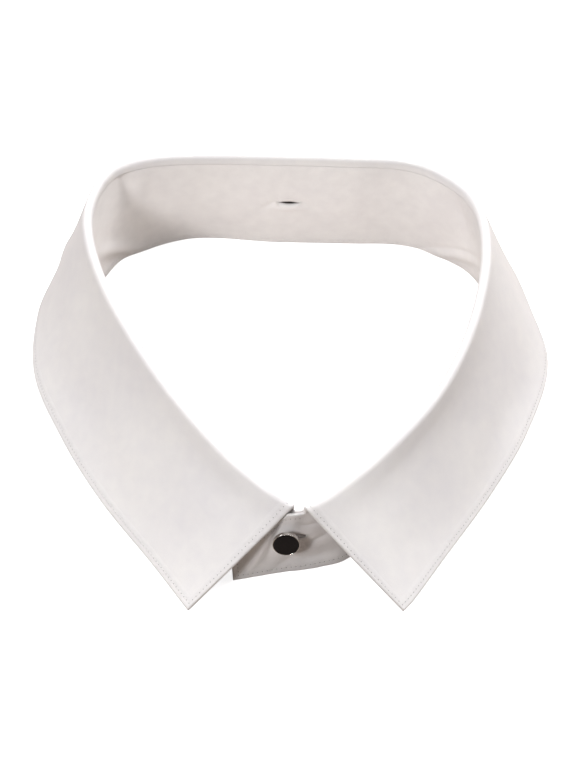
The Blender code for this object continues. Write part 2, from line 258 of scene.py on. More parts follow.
class Plan:
    """The collar's sections, read at any distance along the stand's upper edge."""

    def __init__(self):
        leaf = np.array(SECTIONS) * MM
        under = np.array(UNDER_END[::-1]) * MM
        over = np.array(OVER_END) * MM
        rows = np.vstack([under, leaf[:, :4], over])
        knots = chords(rows[:, :2])
        fine = np.linspace(0, knots[-1], 2000)
        curve = smooth_through(knots, rows, fine)
        run = chords(curve[:, :2])
        self.run, self.curve, self.length = run, curve, run[-1]
        self.leaf_knots = np.interp(knots[len(under):len(under) + len(leaf)], fine, run)
        self.leaf_start, self.leaf_end = self.leaf_knots[0], self.leaf_knots[-1]
        self.edges = leaf[:, 4:]
        ahead = np.gradient(curve[:, :2], run, axis=0)
        ahead /= np.linalg.norm(ahead, axis=1)[:, None]
        self.outward = np.stack([-ahead[:, 1], ahead[:, 0]], axis=1)

    def read(self, table, at):
        return np.stack([np.interp(at, self.run, column) for column in table.T], axis=1)

    def stand(self, at):
        """Upper edge, outward direction, height of that edge and the foot's offset."""
        row = self.read(self.curve, at)
        return row[:, :2], self.read(self.outward, at), row[:, 2], row[:, 3]

    def height(self, at):
        return np.interp(at, self.run, self.curve[:, 2])

    def place_of_x(self, x, low, high):
        """Distance along at which the upper edge passes x, between two distances."""
        there = (self.run >= low) & (self.run <= high)
        return self.run[there][np.abs(self.curve[there, 0] - x).argmin()]


class Surface:
    """Middle of a sheet of cloth, tabled finely, so that any place on it can be read."""

    def __init__(self, start, end, points, flat_from):
        self.start, self.end, self.points = start, end, points
        normal = np.cross(np.gradient(points, axis=0), np.gradient(points, axis=1))
        normal /= np.linalg.norm(normal, axis=2)[:, :, None]
        self.normal = normal
        self.width = np.linalg.norm(np.diff(points, axis=1), axis=2).sum(axis=1)
        self.flat_from = flat_from
        self.flatten()

    def read(self, table, along, share):
        i = (along - self.start) / (self.end - self.start) * (len(table) - 1)
        j = share * (table.shape[1] - 1)
        i0 = np.clip(i.astype(int), 0, len(table) - 2)
        j0 = np.clip(j.astype(int), 0, table.shape[1] - 2)
        a = (i - i0)[..., None]
        b = (j - j0)[..., None]
        return ((1 - a) * (1 - b) * table[i0, j0] + a * (1 - b) * table[i0 + 1, j0]
                + (1 - a) * b * table[i0, j0 + 1] + a * b * table[i0 + 1, j0 + 1])

    def place(self, along, share, lift=0.0):
        spot = self.read(self.points, along, share)
        return spot + self.read(self.normal, along, share) * lift

    def facing(self, along, share):
        return self.read(self.normal, along, share)

    def wide(self, along):
        places = np.linspace(self.start, self.end, len(self.width))
        return np.interp(along, places, self.width)

    def flatten(self):
        """Unrolls the sheet strip by strip, as it was cut, from a line near one edge to the other edge."""
        column = int(round(self.flat_from * (self.points.shape[1] - 1)))
        step = 4
        near = self.points[::step, column]
        far = self.points[::step, -1]

        def reach(p, q):
            return float(np.linalg.norm(p - q))

        def third(p, q, from_p, from_q):
            gap = reach(p, q)
            ahead = (q - p) / gap
            x = (from_p**2 - from_q**2 + gap**2) / (2 * gap)
            y = math.sqrt(max(from_p**2 - x**2, 0.0))
            return p + x * ahead + y * np.array([-ahead[1], ahead[0]])

        flat_near = [np.zeros(2)]
        flat_far = [np.array([0.0, -reach(near[0], far[0])])]
        for i in range(len(near) - 1):
            a, b = flat_near[-1], flat_far[-1]
            next_a = third(a, b, reach(near[i], near[i + 1]), reach(far[i], near[i + 1]))
            next_b = third(next_a, b, reach(near[i + 1], far[i + 1]), reach(far[i], far[i + 1]))
            flat_near.append(next_a)
            flat_far.append(next_b)
        flat_near, flat_far = np.array(flat_near), np.array(flat_far)
        middle = len(near) // 2
        ahead = flat_near[middle + 8] - flat_near[middle - 8]
        turn = -math.atan2(ahead[1], ahead[0])
        turned = np.array([[math.cos(turn), -math.sin(turn)], [math.sin(turn), math.cos(turn)]])
        centre = flat_near[middle].copy()
        self.flat_near = (flat_near - centre) @ turned.T
        self.flat_far = (flat_far - centre) @ turned.T
        self.flat_at = self.start + (self.end - self.start) * np.arange(len(near)) * step / (
            len(self.points) - 1)

    def cut_place(self, along, share):
        """Where a place of the sheet was on the flat cut, in metres."""
        near = np.stack([np.interp(along, self.flat_at, c) for c in self.flat_near.T], axis=-1)
        far = np.stack([np.interp(along, self.flat_at, c) for c in self.flat_far.T], axis=-1)
        part = (share - self.flat_from) / (1 - self.flat_from)
        return near + (far - near) * part[..., None]


def creased(surface, creases, still=0.0):
    """The same sheet with soft troughs and ridges, none within the given distance of its upper edge."""
    rows, columns = surface.points.shape[:2]
    along = np.linspace(surface.start, surface.end, rows)[:, None]
    down = surface.width[:, None] * np.linspace(0, 1, columns)[None, :]
    rise = np.zeros((rows, columns))
    for place, depth, lean, length, width, height in creases:
        lean = math.radians(lean)
        ahead, below = along - place * MM, down - depth * MM
        run = (ahead * math.cos(lean) + below * math.sin(lean)) / (length * MM)
        across = (below * math.cos(lean) - ahead * math.sin(lean)) / (width * MM)
        rise += height * MM * np.exp(-run**2 - across**2)
    if still:
        rise *= np.clip(down / still - 0.5, 0, 1)
    return Surface(surface.start, surface.end, surface.points + surface.normal * rise[:, :, None],
                   surface.flat_from)


def stand_surface(plan):
    count = int(plan.length / TABLE_STEP)
    at = np.linspace(0, plan.length, count)
    upper, outward, top, foot = plan.stand(at)
    up = np.linspace(0, 1, TABLE_COLUMNS)[None, :]
    height = top[:, None] * up
    press = np.zeros_like(height)
    for along, high, slope, length, width, depth in STAND_TROUGHS:
        run = (at[:, None] - along * MM) / (length * MM)
        across = height - high * MM - slope * (at[:, None] - along * MM)
        press += depth * MM * np.exp(-run**2 - (across / (width * MM)) ** 2)
    rest = 1 - up
    upright = UPRIGHT / top[:, None]
    rest = np.where(rest < upright, rest**2 / (2 * upright), rest - upright / 2) / (1 - upright / 2)
    off = foot[:, None] * rest - press * np.sin(math.pi * up) ** 0.5
    points = np.zeros((count, TABLE_COLUMNS, 3))
    points[:, :, :2] = upper[:, None] + outward[:, None] * off[:, :, None]
    points[:, :, 2] = FOOT_LIFT * (1 - up) + height * (1 + SEAM_SHUT / 2 / top[:, None])
    smooth = Surface(0, plan.length, points[:, ::-1] + np.array(PART_SHIFT), 0.0)
    return creased(smooth, STAND_CREASES)


def fall_surface(plan):
    count = int((plan.leaf_end - plan.leaf_start) / TABLE_STEP)
    at = np.linspace(plan.leaf_start, plan.leaf_end, count)
    upper, outward, top, _ = plan.stand(at)
    centre = upper + outward * ROLL_RADIUS
    centre_z = top + SEAM_GAP + SEAM_RISE
    edge = smooth_through(plan.leaf_knots, plan.edges, at)
    away = edge - centre
    reach = np.linalg.norm(away, axis=1)
    away /= reach[:, None]
    drop = centre_z - EDGE_HEIGHT
    chord = np.hypot(reach, drop)
    from_front = np.minimum(at - plan.leaf_start, plan.leaf_end - at)
    hollow = HOLLOW * (HOLLOW_FRONT + (1 - HOLLOW_FRONT) * np.clip(from_front / HOLLOW_RUN, 0, 1))
    for corner in CORNERS:
        hollow *= 1 - CORNER_TAUT * np.exp(-((at - corner) / CORNER_RUN) ** 2)
    steep = np.arctan2(drop, reach) + 4 * hollow / chord
    line = [np.c_[upper, top + SEAM_GAP - SEAM_SHUT / 2]]
    for part in np.linspace(0, 1, ROLL_STEPS):
        angle = math.pi + (math.pi / 2 - steep - math.pi) * part
        inner = np.minimum(np.cos(angle), 0)[:, None]
        outer = np.maximum(np.cos(angle), 0)[:, None]
        line.append(np.c_[centre + ROLL_RADIUS * (outward * inner + away * outer),
                          centre_z + ROLL_RADIUS * np.sin(angle)])
    begin = line[-1]
    end = np.c_[edge, np.full(count, EDGE_HEIGHT)]
    under = np.c_[-away * drop[:, None], -reach] / chord[:, None]
    for t in np.linspace(0, 1, LEAF_STEPS)[1:]:
        line.append(begin * (1 - t) + end * t + under * (hollow * 4 * t * (1 - t))[:, None])
    line = np.stack(line, axis=1)
    run = np.zeros(line.shape[:2])
    run[:, 1:] = np.cumsum(np.linalg.norm(np.diff(line, axis=1), axis=2), axis=1)
    share = np.linspace(0, 1, TABLE_COLUMNS)
    points = np.zeros((count, TABLE_COLUMNS, 3))
    for i in range(count):
        for k in range(3):
            points[i, :, k] = np.interp(share * run[i, -1], run[i], line[i, :, k])
    roll_share = float(np.mean(run[:, ROLL_STEPS + 1] / run[:, -1]))
    smooth = Surface(plan.leaf_start, plan.leaf_end, points + np.array(PART_SHIFT), roll_share)
    return creased(smooth, FALL_CREASES, FALL_STILL)


def graded(length, step, ends, closer=()):
    """Distances from 0 to length: given ones near both ends, even steps between, halved where closer."""
    inner = np.linspace(ends[-1], length - ends[-1], max(2, int((length - 2 * ends[-1]) / step) + 1))
    between = (inner[1:] + inner[:-1]) / 2
    for low, high in closer:
        inner = np.r_[inner, between[(between > low) & (between < high)]]
    return np.r_[ends[:-1], np.unique(inner), (length - ends[:-1])[::-1]]


def order_faces(built):
    """Sorts faces by their corners, so that every run gives the same order."""
    count = len(built.verts)
    built.verts.index_update()

    def corner_key(face):
        first, second, third = sorted(vert.index for vert in face.verts)[:3]
        return float((first * count + second) * count + third)

    built.faces.sort(key=corner_key)


def add_object(name, built, finish, smooth=True):
    """Makes an object with one material out of a finished bmesh."""
    mesh = bpy.data.meshes.new(name)
    built.to_mesh(mesh)
    built.free()
    mesh.materials.append(finish)
    if smooth:
        mesh.shade_smooth()
    obj = bpy.data.objects.new(name, mesh)
    bpy.context.scene.collection.objects.link(obj)
    return obj


def cloth_object(name, surface, along, shares, edge_in, finish, slits=()):
    """A grid laid on the surface, then given its wall, pressed along the sewing and round at free edges.

    edge_in is each place's distance from the nearest edge that isn't the seam of stand and fall.
    """
    built = bmesh.new()
    rows, columns = shares.shape
    bmesh.ops.create_grid(built, x_segments=rows - 1, y_segments=columns - 1, size=0.5)
    at = np.repeat(along[:, None], columns, axis=1)
    spots = surface.place(at, shares)
    cuts = surface.cut_place(at, shares)
    uv = built.loops.layers.uv.new("cut")
    edge = built.verts.layers.float.new("edge_in")
    index = {}
    for vert in built.verts:
        i = round((vert.co.x + 0.5) * (rows - 1))
        j = round((vert.co.y + 0.5) * (columns - 1))
        index[vert.index] = (i, j)
    for vert in built.verts:
        i, j = index[vert.index]
        vert.co = spots[i, j]
        vert[edge] = edge_in[i, j]
    for face in built.faces:
        for loop in face.loops:
            loop[uv].uv = cuts[index[loop.vert.index]]
    gone = []
    for face in built.faces:
        places = [index[v.index] for v in face.verts]
        i = min(p[0] for p in places)
        j = min(p[1] for p in places)
        middle = (along[i] + along[i + 1]) / 2
        if any(j == row and low < middle < high for row, low, high in slits):
            gone.append(face)
    bmesh.ops.delete(built, geom=gone, context="FACES")
    obj = add_object(name, built, finish)
    wall = obj.vertex_groups.new(name="wall")
    depth = np.array([d.value for d in obj.data.attributes["edge_in"].data])
    rim = np.clip(depth / EDGE_ROUND, 0, 1)
    pressed = PRESSED - SEWN_DENT * np.exp(-((depth - STITCH_IN) / SEWN_DENT_RUN) ** 2)
    pressed += EDGE_SWELL * np.exp(-(depth / EDGE_SWELL_RUN) ** 2)
    pressed *= np.maximum(np.sqrt(1 - (1 - rim) ** 2), RIM_LEAST)
    for number, share in enumerate(pressed):
        wall.add([number], float(share), "REPLACE")
    thicken = obj.modifiers.new("Wall", "SOLIDIFY")
    thicken.thickness = CLOTH
    thicken.offset = 0.0
    thicken.use_rim = True
    thicken.vertex_group = "wall"
    return obj


class Thread:
    """Stitches of one thread, gathered into one piece, and the needle marks between them as dark beads of
    painted shade.
    """

    def __init__(self, segments=6, rings=4):
        self.segments, self.rings = segments, rings
        self.places = []

    def stitch(self, start, end, normal, thick=STITCH_THICK):
        ahead = end - start
        length = ahead.length
        if length < 1e-6:
            return
        ahead = ahead / length
        side = normal.cross(ahead).normalized()
        up = ahead.cross(side)
        turn = Matrix((side, up, ahead)).transposed().to_4x4()
        size = Matrix.Diagonal((thick / 2, thick / 2 * 0.8, length / 2 + thick * 0.3, 1))
        self.places.append(np.array(Matrix.Translation((start + end) / 2) @ turn @ size))

    def dot(self, spot, normal, wide, tall):
        side = normal.orthogonal().normalized()
        turn = Matrix((side, normal.cross(side), normal)).transposed().to_4x4()
        size = Matrix.Diagonal((wide / 2, wide / 2, tall / 2, 1))
        self.places.append(np.array(Matrix.Translation(spot) @ turn @ size))

    def line(self, surface, along, share, lift, marks=None):
        """A row of stitches along a path on the surface, on the side that lift points to."""
        fine = np.linspace(0, 1, 40 * len(along))
        grid = np.linspace(0, 1, len(along))
        along = np.interp(fine, grid, along)
        share = np.interp(fine, grid, share)
        spots = surface.place(along, share, lift)
        facing = surface.facing(along, share) * (1 if lift > 0 else -1)
        run = chords(spots)
        count = max(1, round(run[-1] / STITCH_PITCH))
        ends = np.linspace(0, run[-1], count + 1)
        slack = (run[-1] / count - STITCH_LONG) / 2
        for low, high in zip(ends, ends[1:]):
            a = Vector([np.interp(low + slack, run, c) for c in spots.T])
            b = Vector([np.interp(high - slack, run, c) for c in spots.T])
            n = Vector([np.interp((low + high) / 2, run, c) for c in facing.T])
            self.stitch(a, b, n)
            # a dark bead of painted shade in each needle hole
            if marks:
                spot = Vector([np.interp(high, run, c) for c in spots.T])
                marks.dot(spot, n.normalized(), MARK_WIDE, MARK_TALL)

    def finish(self, name, finish):
        """One small bead of thread, copied until each stitch has one, and each laid in its place."""
        built = bmesh.new()
        bmesh.ops.create_uvsphere(built, u_segments=self.segments, v_segments=self.rings, radius=1)
        bead = built.verts.layers.int.new("bead")
        corner = built.verts.layers.int.new("corner")
        corners = []
        for number, vert in enumerate(built.verts):
            vert[corner] = number
            corners.append((*vert.co, 1.0))
        made = 1
        while made < len(self.places):
            take = min(made, len(self.places) - made)
            geom = [v for v in built.verts if v[bead] < take]
            geom += [e for e in built.edges if e.verts[0][bead] < take]
            geom += [f for f in built.faces if f.verts[0][bead] < take]
            for new in bmesh.ops.duplicate(built, geom=geom)["geom"]:
                if isinstance(new, bmesh.types.BMVert):
                    new[bead] += made
            made += take
        spots = np.einsum("nij,vj->nvi", np.array(self.places), np.array(corners))
        for vert in built.verts:
            vert.co = spots[vert[bead], vert[corner], :3]
        built.verts.layers.int.remove(bead)
        built.verts.layers.int.remove(built.verts.layers.int["corner"])
        order_faces(built)
        return add_object(name, built, finish)


class Nodes:
    """Adds shader nodes to a tree, with values or sockets for their inputs."""

    def __init__(self, tree):
        self.tree = tree

    def add(self, kind, inputs=(), **settings):
        node = self.tree.nodes.new("ShaderNode" + kind)
        for key, value in settings.items():
            setattr(node, key, value)
        for key, value in dict(inputs).items():
            if isinstance(value, bpy.types.NodeSocket):
                self.tree.links.new(value, node.inputs[key])
            else:
                node.inputs[key].default_value = value
        return node

    def calc(self, operation, *values):
        node = self.add("Math", dict(enumerate(values)), operation=operation)
        return node.outputs[0]

    def mix(self, share, a, b):
        node = self.add("Mix", {0: share, 6: a, 7: b}, data_type="RGBA")
        return node.outputs[2]

    def noise(self, place, scale, detail=2.0, roughness=0.5):
        node = self.add("TexNoise", {"Vector": place, "Scale": scale, "Detail": detail,
                                     "Roughness": roughness})
        return node.outputs[0]

    def between(self, value, low, high, to_low=0.0, to_high=1.0):
        node = self.add("MapRange", {"Value": value, "From Min": low, "From Max": high,
                                     "To Min": to_low, "To Max": to_high})
        return node.outputs[0]


def new_group(name, inputs, outputs):
    group = bpy.data.node_groups.new(name, "ShaderNodeTree")
    for socket, kind in inputs:
        group.interface.new_socket(socket, in_out="INPUT", socket_type="NodeSocket" + kind)
    for socket, kind in outputs:
        group.interface.new_socket(socket, in_out="OUTPUT", socket_type="NodeSocket" + kind)
    nodes = Nodes(group)
    start = group.nodes.new("NodeGroupInput")
    end = group.nodes.new("NodeGroupOutput")
    return group, nodes, start, end


def make_plain_weave():
    """Height of a plain weave, warp and weft over each other in turn, on the cut's own metres."""
    group, nodes, start, end = new_group(
        "plain_weave", [("Place", "Vector"), ("Pitch", "Float")],
        [("Height", "Float"), ("Gap", "Float")])
    place = start.outputs["Place"]
    drift = nodes.noise(place, 90.0, 2.0)
    split = nodes.add("SeparateXYZ", {0: place})
    waves = []
    for axis in (0, 1):
        bent = nodes.calc("MULTIPLY_ADD", drift, 0.0006, split.outputs[axis])
        waves.append(nodes.calc("SINE", nodes.calc("MULTIPLY", nodes.calc(
            "DIVIDE", bent, start.outputs["Pitch"]), math.pi)))
    warp = nodes.calc("ABSOLUTE", waves[0])
    weft = nodes.calc("ABSOLUTE", waves[1])
    warp_over = nodes.calc("GREATER_THAN", nodes.calc("MULTIPLY", waves[0], waves[1]), 0.0)
    warp_top = nodes.calc("MULTIPLY", warp, nodes.calc("MULTIPLY_ADD", weft, 0.5, 0.5))
    weft_top = nodes.calc("MULTIPLY", weft, nodes.calc("MULTIPLY_ADD", warp, 0.5, 0.5))
    apart = nodes.calc("SUBTRACT", warp_top, weft_top)
    height = nodes.calc("MULTIPLY_ADD", apart, warp_over, weft_top)
    group.links.new(height, end.inputs["Height"])
    gap = nodes.between(nodes.calc("MAXIMUM", warp, weft), 0.15, 0.6, 1.0, 0.0)
    group.links.new(gap, end.inputs["Gap"])
    return group


def make_slubs():
    """Thicker lengths of yarn, thin and long both ways, from 0 to 1."""
    group, nodes, start, end = new_group("slubs", [("Place", "Vector")], [("Slub", "Float")])
    found = []
    for stretch in ((120.0, 3200.0, 1.0), (3200.0, 120.0, 1.0)):
        place = nodes.add("VectorMath", {0: start.outputs["Place"], 1: stretch},
                          operation="MULTIPLY")
        found.append(nodes.between(nodes.noise(place.outputs[0], 1.0, 1.0), 0.58, 0.8))
    group.links.new(nodes.calc("MAXIMUM", *found), end.inputs["Slub"])
    return group


def make_mottle():
    """Soft uneven patches between two colours, in two sizes."""
    group, nodes, start, end = new_group(
        "mottle", [("Place", "Vector"), ("Scale", "Float"), ("Light", "Color"), ("Dark", "Color")],
        [("Colour", "Color"), ("Patch", "Float")])
    wide = nodes.noise(start.outputs["Place"], start.outputs["Scale"], 3.0)
    fine = nodes.noise(start.outputs["Place"],
                       nodes.calc("MULTIPLY", start.outputs["Scale"], 9.0), 3.0)
    both = nodes.calc("MULTIPLY_ADD", fine, 0.35, nodes.calc("MULTIPLY", wide, 0.65))
    patch = nodes.between(both, 0.36, 0.64)
    colour = nodes.mix(patch, start.outputs["Light"], start.outputs["Dark"])
    group.links.new(colour, end.inputs["Colour"])
    group.links.new(patch, end.inputs["Patch"])
    return group


def make_polish_marks():
    """Fine rubbing and small dull patches on polished things."""
    group, nodes, start, end = new_group(
        "polish_marks", [("Place", "Vector"), ("Scale", "Float")],
        [("Dull", "Float"), ("Height", "Float")])
    smear = nodes.noise(start.outputs["Place"], start.outputs["Scale"], 4.0, 0.6)
    stretched = nodes.add("VectorMath", {0: start.outputs["Place"], 1: (9000.0, 900.0, 2500.0)},
                          operation="MULTIPLY")
    hairlines = nodes.noise(stretched.outputs[0], 1.0, 2.0)
    group.links.new(nodes.between(smear, 0.4, 0.75), end.inputs["Dull"])
    group.links.new(hairlines, end.inputs["Height"])
    return group


WEAVE = make_plain_weave()
SLUBS = make_slubs()
MOTTLE = make_mottle()
POLISH = make_polish_marks()


def use_group(nodes, group, inputs):
    node = nodes.tree.nodes.new("ShaderNodeGroup")
    node.node_tree = group
    for key, value in inputs.items():
        if isinstance(value, bpy.types.NodeSocket):
            nodes.tree.links.new(value, node.inputs[key])
        else:
            node.inputs[key].default_value = value
    return node


def new_material(name, **sockets):
    made = bpy.data.materials.new(name)
    made.use_nodes = True
    nodes = Nodes(made.node_tree)
    shader = made.node_tree.nodes["Principled BSDF"]
    for key, value in sockets.items():
        shader.inputs[key.replace("_", " ")].default_value = value
    return made, nodes, shader


def cotton(name, light, dark):
    """Crisp plain-woven cotton, fused, with its threads laid along the flat cut."""
    made, nodes, shader = new_material(name, Sheen_Weight=0.25, Sheen_Roughness=0.45,
                                       Specular_IOR_Level=0.3)
    place = nodes.add("UVMap", uv_map="cut").outputs[0]
    depth = nodes.add("Attribute", attribute_name="edge_in").outputs["Fac"]
    weave = use_group(nodes, WEAVE, {"Place": place, "Pitch": WEAVE_PITCH})
    slub = use_group(nodes, SLUBS, {"Place": place}).outputs["Slub"]
    tone = use_group(nodes, MOTTLE, {"Place": place, "Scale": 28.0, "Light": light, "Dark": dark})
    # Painted shade: the gaps between the threads are darkened towards the dark colour
    gap = nodes.calc("MULTIPLY", weave.outputs["Gap"], 0.35)
    shaded = nodes.mix(gap, tone.outputs["Colour"], tuple(0.72 * c for c in dark[:3]) + (1.0,))
    from_sewing = nodes.calc("ABSOLUTE", nodes.calc("SUBTRACT", depth, STITCH_IN))
    sewn = nodes.between(from_sewing, 0.0, SEWN_STRIP, 1.0, 0.0)
    # Painted shade of the pressed sewing: the strip either side of it is a little darker
    sewing_shaded = nodes.mix(nodes.calc("MULTIPLY", sewn, 0.12), shaded,
                     tuple(0.8 * c for c in dark[:3]) + (1.0,))
    made.node_tree.links.new(sewing_shaded, shader.inputs["Base Color"])
    rough = nodes.between(tone.outputs["Patch"], 0.0, 1.0, 0.72, 0.84)
    made.node_tree.links.new(rough, shader.inputs["Roughness"])
    height = nodes.calc("MULTIPLY_ADD", slub, 0.2, weave.outputs["Height"])
    threads = nodes.add("Bump", {"Strength": 0.5, "Distance": WEAVE_DEPTH, "Height": height})
    pucker = nodes.calc("MULTIPLY", nodes.noise(place, 750.0, 2.0), sewn)
    puckered = nodes.add("Bump", {"Strength": 0.7, "Distance": PUCKER_DEPTH, "Height": pucker,
                                  "Normal": threads.outputs[0]})
    rippled = nodes.add("Bump", {"Strength": 0.35, "Distance": RIPPLE_DEPTH,
                                 "Height": nodes.noise(place, 95.0, 3.0),
                                 "Normal": puckered.outputs[0]})
    made.node_tree.links.new(rippled.outputs[0], shader.inputs["Normal"])
    return made


def thread_material(name, colour):
    """Sewing thread with its twist."""
    made, nodes, shader = new_material(name, Sheen_Weight=0.2, Sheen_Roughness=0.4)
    place = nodes.add("TexCoord").outputs["Object"]
    tone = use_group(nodes, MOTTLE, {"Place": place, "Scale": 900.0, "Light": colour,
                                     "Dark": tuple(0.88 * c for c in colour[:3]) + (1.0,)})
    made.node_tree.links.new(tone.outputs["Colour"], shader.inputs["Base Color"])
    rough = nodes.between(tone.outputs["Patch"], 0.0, 1.0, 0.5, 0.7)
    made.node_tree.links.new(rough, shader.inputs["Roughness"])
    twist = nodes.add("Bump", {"Strength": 0.5, "Distance": 0.00005,
                               "Height": nodes.noise(place, 6000.0, 2.0)})
    made.node_tree.links.new(twist.outputs[0], shader.inputs["Normal"])
    return made


def polished(name, colour, metallic, smooth, dull, bump, **sockets):
    """Polished metal or enamel with slight rubbing."""
    made, nodes, shader = new_material(name, Metallic=metallic, **sockets)
    place = nodes.add("TexCoord").outputs["Object"]
    marks = use_group(nodes, POLISH, {"Place": place, "Scale": 650.0})
    tone = use_group(nodes, MOTTLE, {"Place": place, "Scale": 300.0, "Light": colour,
                                     "Dark": tuple(0.8 * c for c in colour[:3]) + (1.0,)})
    made.node_tree.links.new(tone.outputs["Colour"], shader.inputs["Base Color"])
    rough = nodes.between(marks.outputs["Dull"], 0.0, 1.0, smooth, dull)
    made.node_tree.links.new(rough, shader.inputs["Roughness"])
    fine = nodes.add("Bump", {"Strength": bump, "Distance": 0.00002,
                              "Height": marks.outputs["Height"]})
    made.node_tree.links.new(fine.outputs[0], shader.inputs["Normal"])
    return made


def paint(r, g, b):
    return (r, g, b, 1.0)


FALL_COTTON = cotton("cotton_fall", paint(0.83, 0.805, 0.795), paint(0.77, 0.745, 0.755))
# The stand is the same cotton as the fall, painted lighter: painted light for the inside of the ring
STAND_COTTON_PAINTED_LIGHTER = cotton("cotton_stand", paint(0.885, 0.86, 0.85), paint(0.79, 0.76, 0.76))
THREAD = thread_material("sewing_thread", paint(0.82, 0.80, 0.79))
# Needle holes: dark grey beads of painted shade between the stitches
PAINTED_HOLE_SHADE = thread_material("painted_shade_in_needle_holes", paint(0.38, 0.36, 0.36))
SILVER = polished("stud_silver", paint(0.82, 0.80, 0.78), 1.0, 0.12, 0.3, 0.3)
BLACK = polished("stud_black", paint(0.006, 0.005, 0.006), 0.0, 0.12, 0.26, 0.2,
                 Specular_IOR_Level=0.18)


def stand_rows(plan, along, half_gap):
    """Share across at each station, from the upper edge down, with a pair of rows at the buttonholes."""
    top = plan.height(along)
    centre = np.interp(along, SLIT_LINE_AT, SLIT_LINE_SHARE) * top
    below, above = centre - half_gap, centre + half_gap
    low_room = np.minimum(1, below / EDGE_ROOM)
    high_room = np.minimum(1, (top - above) / EDGE_ROOM)
    rows = []
    for d in EDGE_ROWS[:-1]:
        rows.append(d * low_room)
    for t in np.linspace(0, 1, STAND_ROWS):
        rows.append(EDGE_ROWS[-1] * low_room * (1 - t) + below * t)
    for t in np.linspace(0, 1, STAND_ROWS):
        rows.append(above * (1 - t) + (top - EDGE_ROWS[-1] * high_room) * t)
    for d in EDGE_ROWS[:-1][::-1]:
        rows.append(top - d * high_room)
    heights = np.stack(rows, axis=1)
    slit_row = len(EDGE_ROWS) + STAND_ROWS - 2
    shares = 1 - heights / top[:, None]
    return shares[:, ::-1], heights[:, ::-1], heights.shape[1] - 2 - slit_row


def eyelet(along, centre):
    """Half height of a front buttonhole, round at the post and narrowing towards its other end."""
    inside = np.clip(1 - ((along - centre) / EYELET_RADIUS) ** 2, 0, 1)
    pulled = np.clip(1 - (centre - along) / FRONT_SLIT_REACH, 0, 1) * (along < centre)
    opened = np.maximum(EYELET_RADIUS * np.sqrt(inside), FRONT_SLIT_OPEN * np.sqrt(pulled))
    return np.maximum(SLIT / 2, opened)


def make_stand(plan, surface):
    closer = [(0, UNDER_STRETCH), *CREASED_STRETCHES, (plan.length - OVER_STRETCH, plan.length)]
    along = graded(plan.length, GRID_STEP, EDGE_ROWS, closer)
    under = plan.place_of_x(STUD_X, 0, 40 * MM)
    over = plan.place_of_x(STUD_X, plan.length - 40 * MM, plan.length)
    back = plan.place_of_x(BACK_SLIT_X, 150 * MM, 260 * MM)
    half_gap = np.maximum(eyelet(along, under), eyelet(along, over))
    open_at = np.clip(1 - ((along - back) / (BACK_SLIT_LENGTH / 2)) ** 2, 0, 1)
    half_gap = np.maximum(half_gap, BACK_SLIT_OPEN / 2 * open_at)
    shares, heights, slit_row = stand_rows(plan, along, half_gap)
    from_ends = np.minimum(along, plan.length - along)[:, None]
    down = plan.height(along)[:, None] - heights
    seamed = ((along > plan.leaf_start) & (along < plan.leaf_end))[:, None]
    edge_in = np.minimum(np.minimum(heights, np.where(seamed, 1.0, down)), from_ends)
    slits = [(slit_row, back - BACK_SLIT_LENGTH / 2, back + BACK_SLIT_LENGTH / 2),
             (slit_row, under - FRONT_SLIT_REACH, under + EYELET_RADIUS),
             (slit_row, over - FRONT_SLIT_REACH, over + EYELET_RADIUS)]
    stand = cloth_object("stand_cloth", surface, along, shares, edge_in, STAND_COTTON_PAINTED_LIGHTER, slits)
    thread = Thread()
    # dark beads of painted shade in the needle holes, on the outer side only
    marks = Thread(5, 3)
    run = np.linspace(STITCH_IN, plan.length - STITCH_IN, 300)
    top = plan.height(run)
    for side in (STITCH_LIFT, -STITCH_LIFT):
        hole_shade_dots = marks if side > 0 else None
        thread.line(surface, run, 1 - STITCH_IN / top, side, hole_shade_dots)
        if side > 0:
            thread.line(surface, run, STITCH_IN / top, side, hole_shade_dots)
        for end in (STITCH_IN, plan.length - STITCH_IN):
            inset = STITCH_IN / plan.height(end)
            thread.line(surface, np.full(9, end), np.linspace(inset, 1 - inset, 9), side, hole_shade_dots)
    sewing = thread.finish("stand_stitching", THREAD)
    hole_shade = marks.finish("stand_needle_holes_painted_shade", PAINTED_HOLE_SHADE)
    holes = Thread()
    slit_middle = (shares[:, slit_row] + shares[:, slit_row + 1]) / 2
    slit_half = (shares[:, slit_row + 1] - shares[:, slit_row]) / 2
    front_shift = (EYELET_RADIUS - FRONT_SLIT_REACH) / 2
    front_half = (EYELET_RADIUS + FRONT_SLIT_REACH) / 2
    for centre, half in ((back, BACK_SLIT_LENGTH / 2), (under + front_shift, front_half),
                         (over + front_shift, front_half)):
        places = np.linspace(centre - half, centre + half, int(2 * half / WHIP_PITCH))
        middle = np.interp(places, along, slit_middle)
        half_open = np.interp(places, along, slit_half)
        height = plan.height(places)
        for side in (STITCH_LIFT, -STITCH_LIFT):
            for way in (-1, 1):
                inner = middle + way * (np.abs(half_open) + WHIP_IN / height)
                outer = inner + way * WHIP_LONG / height
                a = surface.place(places, inner, side * 1.1)
                b = surface.place(places, outer, side)
                n = surface.facing(places, inner) * np.sign(side)
                for p, q, r in zip(a, b, n):
                    holes.stitch(Vector(p), Vector(q), Vector(r), WHIP_PITCH)
            for end in (centre - half - BAR_OUT, centre + half + BAR_OUT):
                for step in np.linspace(-0.3, 0.3, 3):
                    at = np.full(2, end + step * MM)
                    middle_there = np.interp(at, along, slit_middle)
                    reach = middle_there + np.array([-BAR_REACH, BAR_REACH]) / plan.height(at)
                    a, b = surface.place(at, reach, side * 1.15)
                    n = surface.facing(at, middle_there)[0] * np.sign(side)
                    holes.stitch(Vector(a), Vector(b), Vector(n), BAR_THICK)
    return stand, sewing, hole_shade, holes.finish("buttonhole_stitching", THREAD)


